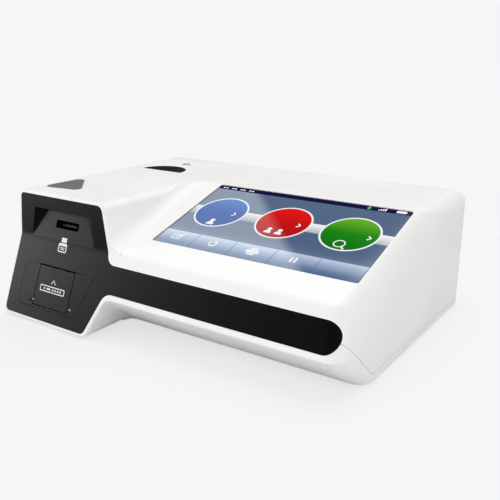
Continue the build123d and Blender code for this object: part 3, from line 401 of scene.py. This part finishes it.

# %% [markdown]
# ## The lit screen
# The display is glass bonded to a colour panel, so its picture lies almost at the surface. The
# picture could be dozens of thin plates, but its broad fields, such as the blue-grey ground,
# the dark bar at the top, the pale band and the row of keys, vary smoothly. So they are worked
# out in the material from two numbers: how far across and how far up the glass a point is, in
# millimetres. A soft glare over the lower left half, a painted reflection on the glass, is added
# to that picture too, and has one straight edge that leans across the glass.

# %% Places and glare on the screen
# Painted glare: pale colours added to the lit picture for a reflection on the glass.
GROUND_GLARE = (0.19, 0.20, 0.195, 1.0)
KEY_GLARE = (0.075, 0.075, 0.075, 1.0)
MARK_GLARE = (0.02, 0.02, 0.02, 1.0)
GLARE_REACH = 117.0
GLARE_SOFT = 7.0
DARK_GLASS = {"Base_Color": (0.004, 0.004, 0.005, 1), "Roughness": 0.09, "Specular_IOR_Level": 0.4,
              "Emission_Strength": 1.0}


def screen_place(spot):
    """How far across and how far up the glass a point is, in millimetres."""
    split = spot.node("ShaderNodeSeparateXYZ", {}, {0: spot})
    x, y, z = (Value(split.tree, split.socket.node.outputs[i]) for i in range(3))
    corner = screen_face.corner
    across = (x - corner.x) / MM
    up = ((y - corner.y) * screen_face.up.y + (z - corner.z) * screen_face.up.z) / MM
    return across, up


def with_glare(picture, across, up, glare):
    """Add a painted glare, a reflection that lies over the lower left part of the glass."""
    lit = 1 - (across + up).above(GLARE_REACH, GLARE_SOFT)
    return picture.node("ShaderNodeMix", {"data_type": "RGBA", "blend_type": "ADD"},
                        {0: lit, MIX_A: picture, MIX_B: glare}, MIX_COLOUR)


print("glass is", SCREEN_H, "mm high, and leans", round(math.degrees(SCREEN_LEAN), 1), "degrees")

# %% [markdown]
# ## Ground, band, keys and bar
# From the bottom to the top of the glass lie the row of five keys, the ground, the pale band
# behind the round keys, and the dark status bar. Each field has its own shade, and a mask puts
# it over what is below. This order of layers is how a painter would build the picture, and a
# field is moved by changing one number.

# %% Screen ground
FIELD_SOFT = 0.15
ROW_TOP = 17.4
ROW_PITCH = 31.0
ROW_SHIFT = 1.3
BAND_LOW = 42.0
BAND_HIGH = 52.9
STATUS_LOW = 79.6
EDGE_SHADE_W = 0.9


def ground_shade(spot, up):
    """Blue-grey that is palest at its lower end, with a slight drift."""
    height = up / SCREEN_H
    return (height + (noise(spot, 9.0) - 0.5) * 0.06).ramp(
        (0.19, srgb(108, 124, 151)), (0.26, srgb(86, 105, 134)), (0.35, srgb(76, 97, 128)),
        (1.0, srgb(84, 103, 132)))


def row_shade(up):
    """Shade of the lower keys, from their foot to their bright upper edge."""
    return (up / ROW_TOP).ramp(
        (0.0, srgb(74, 93, 130)), (0.3, srgb(98, 122, 158)), (0.75, srgb(163, 179, 204)),
        (1.0, srgb(190, 204, 226)))


def screen_finish(name):
    """Dark glass that shows the broad fields of the picture."""
    made, shader, spot = start_finish(name, **DARK_GLASS)
    across, up = screen_place(spot)
    picture = with_glare(ground_shade(spot, up), across, up, GROUND_GLARE)
    band = up.between(BAND_LOW, BAND_HIGH, FIELD_SOFT)
    band_rise = (up - BAND_LOW) / (BAND_HIGH - BAND_LOW)
    picture = band.mix(picture, band_rise.mix(srgb(176, 178, 190), srgb(246, 246, 250)))
    row = 1 - up.above(ROW_TOP, FIELD_SOFT)
    picture = row.mix(picture, with_glare(row_shade(up), across, up, GROUND_GLARE))
    cell = ((across + ROW_SHIFT) / ROW_PITCH).fraction()
    seams = (1 - cell.above(0.012, 0.004)) * row
    picture = seams.mix(picture, srgb(84, 102, 138))
    picture = up.above(STATUS_LOW, FIELD_SOFT).mix(picture, srgb(4, 4, 58))
    # A dark strip painted along the left edge of the glass, for the shade that the window's wall casts
    # on the sunk glass.
    edge = 1 - across.above(EDGE_SHADE_W, FIELD_SOFT)
    feed(shader, Emission_Color=edge.mix(picture, srgb(16, 18, 26)))
    return made


screen_glass = screen_finish("screen_glass")
print("finish", screen_glass.name)

# %% [markdown]
# ## Who wears what
# Every solid gets one of these finishes in its material slot. That could be one assignment for
# each solid, but a list of finishes, each with its wearers, is easier to check: it shows at a
# glance which pieces are alike, and the last line names any solid that was left out.

# %% Dress the solids
WARDROBE = [
    (casing_white, ["bottom_case", "top_case"]),
    (lid_white, ["printer_lid"]),
    (front_charcoal, ["front_cover", "port_panel", "cartridge_door"]),
    (inner_black, ["chip_socket", "tray_chassis", "optics_housing", "home_sensor", "dc_jack",
                   "switch_body", "power_rocker", "printer_frame", "speaker"]),
    (scoop_grey, ["finger_scoop"]),
    (badge_grey, ["badge_plate"]),
    (tray_grey, ["cartridge_tray"]),
    (turned_pin, ["door_hinge_pins", "lid_hinge_pins", "case_screws"]),
    (plated_steel, ["drive_motor", "lcd_module", "display_frame", "lan_port", "usb_ports",
                    "serial_port", "print_head"]),
    (brass_can, ["light_source"]),
    (board_green, ["main_board", "photodetector"]),
    (lens_glass, ["optics_lens"]),
    (gear_plastic, ["drive_pinion"]),
    (foot_rubber, ["rubber_feet"]),
    (platen_rubber, ["platen_roller"]),
    (thermal_paper, ["paper_roll"]),
    (screen_glass, ["display_glass"]),
]
for finish, wearers in WARDROBE:
    for wearer in wearers:
        mesh = nodes[wearer].data
        mesh.materials.clear()
        mesh.materials.append(finish)
dressed = {wearer for _, wearers in WARDROBE for wearer in wearers}
print("dressed", len(dressed), "left over", sorted(set(nodes) - dressed))

# %% [markdown]
# ## Thin drawn pieces
# Pictograms, rings and rounded bars are thin plates on a face. Blender's flat curves could be
# given a thickness for that, but the mesh that comes of it isn't joined along its edges. So the
# helpers make closed plates in mesh code: a top and a bottom for each outline and walls between
# them, and for each ring an inner and an outer wall with a flat ring on both sides.

# %% Plates from outlines
def add_plate(shape, face, outline, low, high):
    """Closed plate of one outline, between two distances out of a face."""
    loops = [[shape.verts.new(face.point(a, u, out)) for a, u in outline] for out in (low, high)]
    shape.faces.new(loops[0][::-1])
    shape.faces.new(loops[1])
    for i in range(len(outline)):
        j = (i + 1) % len(outline)
        shape.faces.new((loops[0][i], loops[0][j], loops[1][j], loops[1][i]))


def add_ring(shape, face, outer, inner, low, high):
    """Closed ring between two outlines with the same number of points."""
    rows = [[shape.verts.new(face.point(a, u, out)) for a, u in outline]
            for outline, out in ((outer, low), (outer, high), (inner, high), (inner, low))]
    for row in range(4):
        near, far = rows[row], rows[(row + 1) % 4]
        for i in range(len(outer)):
            j = (i + 1) % len(outer)
            shape.faces.new((near[i], near[j], far[j], far[i]))


def plate(name, face, outlines, low, high, finish, body, rings=()):
    """One piece of thin plates and rings on a face, which rides on a body."""
    shape = bmesh.new()
    for outline in outlines:
        add_plate(shape, face, outline, low, high)
    for outer, inner in rings:
        add_ring(shape, face, outer, inner, low, high)
    bmesh.ops.recalc_face_normals(shape, faces=shape.faces)
    mesh = bpy.data.meshes.new(name)
    shape.to_mesh(mesh)
    shape.free()
    mesh.materials.append(finish)
    piece = bpy.data.objects.new(name, mesh)
    bpy.context.scene.collection.objects.link(piece)
    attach(piece, body)
    print(f"{name}: {len(mesh.polygons)} faces")


# %% [markdown]
# ## Outlines
# All the drawings are made of three outlines: a circle or a part of one, a rectangle with round
# corners, and a stroke, which is a line drawn with a pen of some width. They are lists of
# points, so they can be added up, joined and handed to the plate helper as they are.

# %% Circles, round corners and strokes
def circle(a, u, r, steps=48, start=0.0, turn=math.tau):
    """Points round a circle, or round a part of one."""
    full = abs(turn - math.tau) < 1e-6
    count = steps if full else steps + 1
    return [(a + r * math.cos(start + turn * i / steps), u + r * math.sin(start + turn * i / steps))
            for i in range(count)]


def rounded(a0, u0, a1, u1, r, steps=6):
    """Rectangle with round corners between two places."""
    points = []
    corners = ((a1 - r, u0 + r, -90), (a1 - r, u1 - r, 0), (a0 + r, u1 - r, 90), (a0 + r, u0 + r, 180))
    for a, u, degrees in corners:
        points += circle(a, u, r, steps, math.radians(degrees), math.pi / 2)
    return points


def stroke(points, width):
    """A drawn line of a width through some points, as one outline."""
    left, right = [], []
    for i, (a, u) in enumerate(points):
        before = points[max(i - 1, 0)]
        after = points[min(i + 1, len(points) - 1)]
        along = Vector((after[0] - before[0], after[1] - before[1])).normalized()
        left.append((a - along.y * width / 2, u + along.x * width / 2))
        right.append((a + along.y * width / 2, u - along.x * width / 2))
    return right + left[::-1]


print("points of a circle", len(circle(0, 0, 1)), "and of a rounded bar", len(rounded(0, 0, 4, 2, 1)))

# %% [markdown]
# ## Light colours on the screen
# The round keys and pictograms glow like the rest of the picture. A lamp behind each would
# light the casing as well, which the real screen is too weak to do. So their finish is the same
# dark glass with another emission. Its colour runs from the lower edge to a brighter upper one,
# which gives each key the soft dome that the photograph shows.

# %% Key finishes
def lit_finish(name, shades, middle_up, reach, glare=KEY_GLARE):
    """Lit glass whose colour runs through some shades up the screen."""
    made, shader, spot = start_finish(name, **DARK_GLASS)
    across, up = screen_place(spot)
    rise = (up - middle_up) / (2 * reach) + 0.5
    stops = [(i / (len(shades) - 1), srgb(*shade)) for i, shade in enumerate(shades)]
    shade = (rise + (noise(spot, 200.0) - 0.5) * 0.03).ramp(*stops)
    feed(shader, Emission_Color=with_glare(shade, across, up, glare))
    return made


KEY_UP = 48.2
KEY_R = 20.2
key_blue = lit_finish("key_blue", [(56, 94, 156), (60, 100, 168), (86, 130, 206)], KEY_UP, KEY_R)
key_red = lit_finish("key_red", [(166, 3, 3), (196, 4, 4), (233, 10, 5)], KEY_UP, KEY_R)
key_green = lit_finish("key_green", [(8, 104, 4), (14, 130, 3), (104, 182, 36)], KEY_UP, KEY_R)
lit_white = lit_finish("lit_white", [(238, 240, 245), (246, 247, 250)], KEY_UP, SCREEN_H, MARK_GLARE)
lit_pale = lit_finish("lit_pale", [(132, 152, 190), (146, 164, 200)], 8.0, 20.0)
lit_leaf = lit_finish("lit_leaf", [(40, 150, 70), (120, 220, 140)], 82.0, 4.0)
print("finishes", key_blue.name, key_red.name, key_green.name, lit_white.name)

# %% [markdown]
# ## The three round keys
# Each key is a disc with a white ring round it. Both could be masks in the screen's material,
# but as plates they keep a crisp edge from close by. The discs lie a hair above the glass, and
# the rings a hair above the discs, so that nothing flickers between two faces in one plane.

# %% Round keys
GLASS = -GLASS_SINK
INK_SINK = 0.02
RING_W = 1.3
KEYS = [("key_single", 25.5, key_blue), ("key_double", 77.4, key_red), ("key_control", 126.6, key_green)]
key_rings = []
for key_name, middle, finish in KEYS:
    plate(key_name, screen_face, [circle(middle, KEY_UP, KEY_R - 0.6, 72)], GLASS - INK_SINK,
          GLASS + 0.03, finish, "case")
    key_rings.append((circle(middle, KEY_UP, KEY_R, 72), circle(middle, KEY_UP, KEY_R - RING_W, 72)))
plate("key_rings", screen_face, [], GLASS - INK_SINK, GLASS + 0.05, lit_white, "case", key_rings)

# %% [markdown]
# ## Pictograms on the round keys
# The blue key shows one person, the red key two, and the green key a lens with a handle, and
# each has a small arrow head. A person is a disc over a half disc with a straight hem, which is
# how such signs are drawn, so one helper makes all three at their own sizes.

# %% Persons, lens and arrow heads
def person(a, u, size):
    """Outlines of a head and shoulders."""
    half = 0.95 * size
    shoulders = [(a + half, u - 1.5 * size), (a + half, u - 1.1 * size)]
    shoulders += circle(a, u - 1.15 * size, half, 14, 0.0, math.pi)[1:-1]
    shoulders += [(a - half, u - 1.1 * size), (a - half, u - 1.5 * size)]
    return [circle(a, u + 0.35 * size, 0.62 * size, 24), shoulders]


def chevron(a, u, size=2.1):
    """Outline of an arrow head that points to the right."""
    return stroke([(a - size * 0.5, u + size), (a + size * 0.5, u), (a - size * 0.5, u - size)], 1.2)


marks = person(26.2, 35.6, 3.0)
marks += person(72.6, 37.4, 2.7) + person(80.6, 37.4, 2.7)
marks += [stroke([(128.0, 32.6), (130.2, 30.2)], 1.2)]
marks += [chevron(36.7, 47.9), chevron(89.5, 47.5), chevron(140.4, 46.7)]
lens_ring = [(circle(125.2, 35.6, 4.1, 40), circle(125.2, 35.6, 3.2, 40))]
plate("key_pictograms", screen_face, marks, GLASS - INK_SINK, GLASS + 0.07, lit_white, "case", lens_ring)

# %% [markdown]
# ## The row of keys
# Along the lower edge runs a row of keys, each with a pictogram: a note and pen, an arrow that
# goes round, a printer and a pause sign. The last key is dim, with three faint dots. Small signs
# like these could come from a font of symbols, but a script can't count on a font being there,
# so each is a few bars, strokes and rings.

# %% Lower pictograms
note_ring = [(rounded(10.6, 7.6, 18.2, 13.0, 0.6), rounded(11.4, 8.4, 17.4, 12.2, 0.3))]
pen = [stroke([(14.0, 9.6), (19.2, 13.6)], 1.0)]
turn = [stroke(circle(45.2, 10.2, 2.7, 24, math.radians(60), math.radians(-290)), 1.0)]
turn_head = [[(45.4, 13.9), (45.6, 10.9), (48.2, 12.6)]]
printer = [rounded(71.8, 8.4, 81.2, 11.8, 0.6), rounded(73.8, 12.3, 79.2, 14.2, 0.2),
           rounded(73.8, 6.4, 79.2, 7.9, 0.2)]
pause = [rounded(104.6, 7.6, 106.1, 13.0, 0.3), rounded(107.6, 7.6, 109.1, 13.0, 0.3)]
plate("row_pictograms", screen_face, pen + turn + turn_head + printer + pause, GLASS - INK_SINK,
      GLASS + 0.06, lit_white, "case", note_ring)
dim_dots = [rounded(130.0 + 5.0 * i, 8.6, 132.6 + 5.0 * i, 9.8, 0.4) for i in range(3)]
plate("row_dim_marks", screen_face, dim_dots, GLASS - INK_SINK, GLASS + 0.04, lit_pale, "case")

# %% [markdown]
# ## The status bar
# The dark bar at the top holds a small leaf-green drop, signal bars, a battery and a few short
# dashes. The bars grow by the same step, so a loop draws them. The drop is most of a circle,
# closed by one point above it.

# %% Status marks
signal = [rounded(131.0 + 1.5 * i, 80.9, 132.0 + 1.5 * i, 82.0 + 0.7 * i, 0.1) for i in range(4)]
battery = [rounded(143.6, 80.9, 150.2, 83.8, 0.4), rounded(150.3, 81.8, 150.9, 82.9, 0.1)]
dashes = [rounded(4.0 + 2.6 * i, 81.2, 5.9 + 2.6 * i, 82.4, 0.2) for i in (0, 1, 3, 4, 6, 7, 9, 10)]
plate("status_marks", screen_face, signal + battery + dashes, GLASS - INK_SINK, GLASS + 0.05,
      lit_white, "case")
drop = circle(124.2, 81.9, 1.3, 20, math.radians(150), math.radians(240)) + [(124.2, 84.5)]
plate("status_drop", screen_face, [drop], GLASS - INK_SINK, GLASS + 0.05, lit_leaf, "case")

# %% [markdown]
# ## Ink
# Pad prints on the charcoal front show where the chip and the cartridge go. Ink is a few
# hundredths of a millimetre thick and a little rougher than the satin plastic that it lies on,
# so it could be a mask in the plastic's finish. It is a thin plate with its own finish instead,
# because an edge of ink is sharp, and the same helper already draws sharp plates.

# %% Ink finish
def ink_finish(name, base):
    """Printed ink with a fine uneven film."""
    made, shader, spot = start_finish(name, Specular_IOR_Level=0.35)
    film = noise(spot, 1800.0, 2.0)
    feed(shader, Base_Color=drift(film, base, 10, 0.25, 0.55), Roughness=0.5 + film * 0.15,
         Normal=bumps(film, 0.008 * MM))
    return made


print_white = ink_finish("print_white", (232, 232, 232))
print_grey = ink_finish("print_grey", (120, 120, 122))
print("finishes", print_white.name, print_grey.name)

# %% [markdown]
# ## Inside the chip port
# Behind the slot in the recess a chip's edge meets a row of contacts on a black tongue. From
# the front they are just a faint line in the dark, but without them the port would look like a
# plain hole. The tongue lies deep in the slot and the contacts stand on it.

# %% Contacts in the chip port
slot_u = up_front(69.6)
tongue = [rounded(39.6, slot_u - 0.7, 55.0, slot_u + 0.9, 0.3)]
plate("port_tongue", front_face, tongue, -5.0, -3.4, inner_black, "case")
pads = [rounded(41.2 + 2.4 * i, slot_u - 0.3, 42.4 + 2.4 * i, slot_u + 0.3, 0.15) for i in range(6)]
plate("port_contacts", front_face, pads, -3.5, -3.3, scoop_grey, "case")

# %% [markdown]
# ## The chip's sign
# Under the port a white sign shows a chip with its plug upwards: a ring for the body, two short
# lines on it, and a plain block for the plug. The sign lies across the small step of 0.2 mm where
# the recess begins. Two plates at two heights would need a seam there, so the sign is one plate
# that is thick enough to show on both sides of the step.

# %% Chip pictogram
COVER = -0.2
chip_u = up_front(51.4)
chip_body = [(rounded(44.2, chip_u, 52.8, chip_u + 6.6, 1.3),
              rounded(45.0, chip_u + 0.8, 52.0, chip_u + 4.6, 0.6))]
chip_plug = [rounded(46.2, chip_u + 7.2, 51.6, chip_u + 10.6, 0.3)]
chip_lines = [rounded(46.4, chip_u + low, 50.6, chip_u + low + 0.6, 0.2) for low in (3.0, 1.8)]
plate("chip_pictogram", front_face, chip_plug + chip_lines, COVER - INK_SINK, 0.03, print_white,
      "case", chip_body)

# %% [markdown]
# ## The cartridge's sign
# On the flap door a white sign shows a test cartridge with its wells and an arrow head. It is
# printed on the door, so it rides on the door's body and turns down with it when the tray
# comes out. Riding on the case instead, it would be left standing in the air.

# %% Cartridge pictogram
door_u = up_front(23.4)
frame_ring = [(rounded(34.4, door_u, 60.0, door_u + 4.6, 0.9),
               rounded(35.1, door_u + 0.7, 59.3, door_u + 3.9, 0.5))]
wells = [circle(39.0, door_u + 2.3, 0.7, 16), rounded(41.4, door_u + 1.7, 45.4, door_u + 2.9, 0.5)]
wells += [rounded(47.2 + 2.6 * i, door_u + 1.6, 48.6 + 2.6 * i, door_u + 3.0, 0.2) for i in range(4)]
arrow = [stroke([(45.1, door_u + 6.4), (47.2, door_u + 9.2), (49.3, door_u + 6.4)], 0.7)]
plate("cartridge_pictogram", front_face, wells + arrow, COVER - INK_SINK, COVER + 0.03, print_white,
      "door", frame_ring)

# %% [markdown]
# ## The sign on the paper cover
# A small grey sign on the paper cover shows a roll with its paper running off in the direction
# of an arrow. It rides on the cover's body, so that it tips up with the cover.

# %% Paper mark on the printer lid
roll_ring = [(circle(34.6, 177.6, 3.3, 32), circle(34.6, 177.6, 1.5, 32))]
feed_mark = [rounded(33.6, 173.0, 40.4, 174.3, 0.2), [(40.9, 172.0), (43.6, 173.65), (40.9, 175.3)]]
plate("paper_mark", top_face, feed_mark, -INK_SINK, 0.03, print_grey, "lid", roll_ring)

# %% [markdown]
# ## Studio ground
# The photograph has a plain pale ground that the case almost melts into. More light would make
# a floor that pale, but it would also bleach the white casing. So the floor has a pale colour
# of its own: near the reader it takes the soft shadow, and further out the camera sees a fixed
# pale grey there. In reflections it is dark, as the unlit end of a studio would be, which keeps
# the black cover black.

# %% Floor
BACKDROP = srgb(246, 246, 246)
MIRRORED = srgb(40, 40, 40)
FADE_FROM = 0.15
FADE_TO = 0.34
FADE_NEAR = 0.72


def ground_finish(name):
    """Pale paper that takes the shadow, fades to the backdrop, and is dark in reflections."""
    made, shader, spot = start_finish(name, Specular_IOR_Level=0.1)
    cloud = noise(spot, 3.0)
    feed(shader, Base_Color=cloud.mix(srgb(236, 236, 237), srgb(240, 240, 241)),
         Roughness=0.8 + cloud * 0.1)
    tree = made.node_tree
    rays = tree.nodes.new("ShaderNodeLightPath")
    seen = Value(tree, rays.outputs["Is Camera Ray"])
    mirrored = Value(tree, rays.outputs["Is Glossy Ray"])
    distance = spot.node("ShaderNodeVectorMath", {"operation": "LENGTH"}, {0: spot}, 1)
    far = distance.node("ShaderNodeMapRange", {"interpolation_type": "SMOOTHSTEP"},
                        {"Value": distance, "From Min": FADE_FROM, "From Max": FADE_TO,
                         "To Min": FADE_NEAR})
    paper = spot.node("ShaderNodeEmission", {}, {"Color": BACKDROP})
    lit = Value(tree, shader.outputs[0])
    ground = lit.node("ShaderNodeMixShader", {}, {0: seen * far, 1: lit, 2: paper})
    shade = spot.node("ShaderNodeEmission", {}, {"Color": MIRRORED})
    ground = ground.node("ShaderNodeMixShader", {}, {0: mirrored * 0.9, 1: ground, 2: shade})
    tree.links.new(ground.socket, tree.nodes["Material Output"].inputs["Surface"])
    return made


floor_mesh = bpy.data.meshes.new("floor")
sheet = bmesh.new()
bmesh.ops.create_grid(sheet, x_segments=8, y_segments=8, size=6.0)
sheet.to_mesh(floor_mesh)
sheet.free()
floor_mesh.materials.append(ground_finish("floor_paper"))
floor = bpy.data.objects.new("floor", floor_mesh)
bpy.context.scene.collection.objects.link(floor)
print("floor", tuple(round(side, 1) for side in floor.dimensions))

# %% [markdown]
# ## Lamps
# Four soft lamps light the reader: a broad one above, a smaller one on the left front, which
# draws the satin sheen on the charcoal, a faint one on the right, and a long low one in front,
# which lifts the shade under the case. One strong lamp would do for brightness, but it would
# cut hard shadows. The low lamp is kept out of reflections, where it would be a bright bar.

# %% Lamps
def lamp(name, location, target, size, power):
    """Rectangular soft lamp that faces a point."""
    data = bpy.data.lights.new(name, "AREA")
    data.shape = "RECTANGLE"
    data.size, data.size_y = size
    data.energy = power
    lamp_object = bpy.data.objects.new(name, data)
    lamp_object.location = location
    lamp_object.rotation_euler = (Vector(target) - Vector(location)).to_track_quat("-Z", "Y").to_euler()
    bpy.context.scene.collection.objects.link(lamp_object)
    print(name, power, "W")
    return lamp_object


lamp("over_lamp", (0.1, 0.2, 1.3), (0, 0, 0), (1.6, 1.6), 9.6)
lamp("left_lamp", (-1.3, -0.68, 0.32), (-0.05, 0, 0.04), (0.6, 0.6), 5.0)
lamp("right_lamp", (1.3, -0.4, 0.8), (0, 0, 0.05), (1.0, 1.0), 1.5)
low_lamp = lamp("low_lamp", (0.0, -1.4, 0.12), (0, -0.1, 0.02), (1.6, 0.25), 1.5)
low_lamp.visible_glossy = False

# %% [markdown]
# ## Sky
# The sky fills in what the lamps leave dark. One colour could serve for everything, but the
# ground has to look pale while the light stays moderate. So the sky is asked who looks at it:
# the camera sees the backdrop, reflections see the dark studio, and all other light is a soft
# pale grey.

# %% Sky
SKY_LIGHT = srgb(216, 216, 216)
world = bpy.data.worlds.new("studio_sky")
bpy.context.scene.world = world
world.use_nodes = True
sky_tree = world.node_tree
sky_rays = sky_tree.nodes.new("ShaderNodeLightPath")
seen_sky = Value(sky_tree, sky_rays.outputs["Is Camera Ray"])
mirrored_sky = Value(sky_tree, sky_rays.outputs["Is Glossy Ray"])
sky_shade = seen_sky.mix(mirrored_sky.mix(SKY_LIGHT, MIRRORED), BACKDROP)
sky_tree.links.new(sky_shade.socket, sky_tree.nodes["Background"].inputs["Color"])
print("sky nodes", len(sky_tree.nodes))
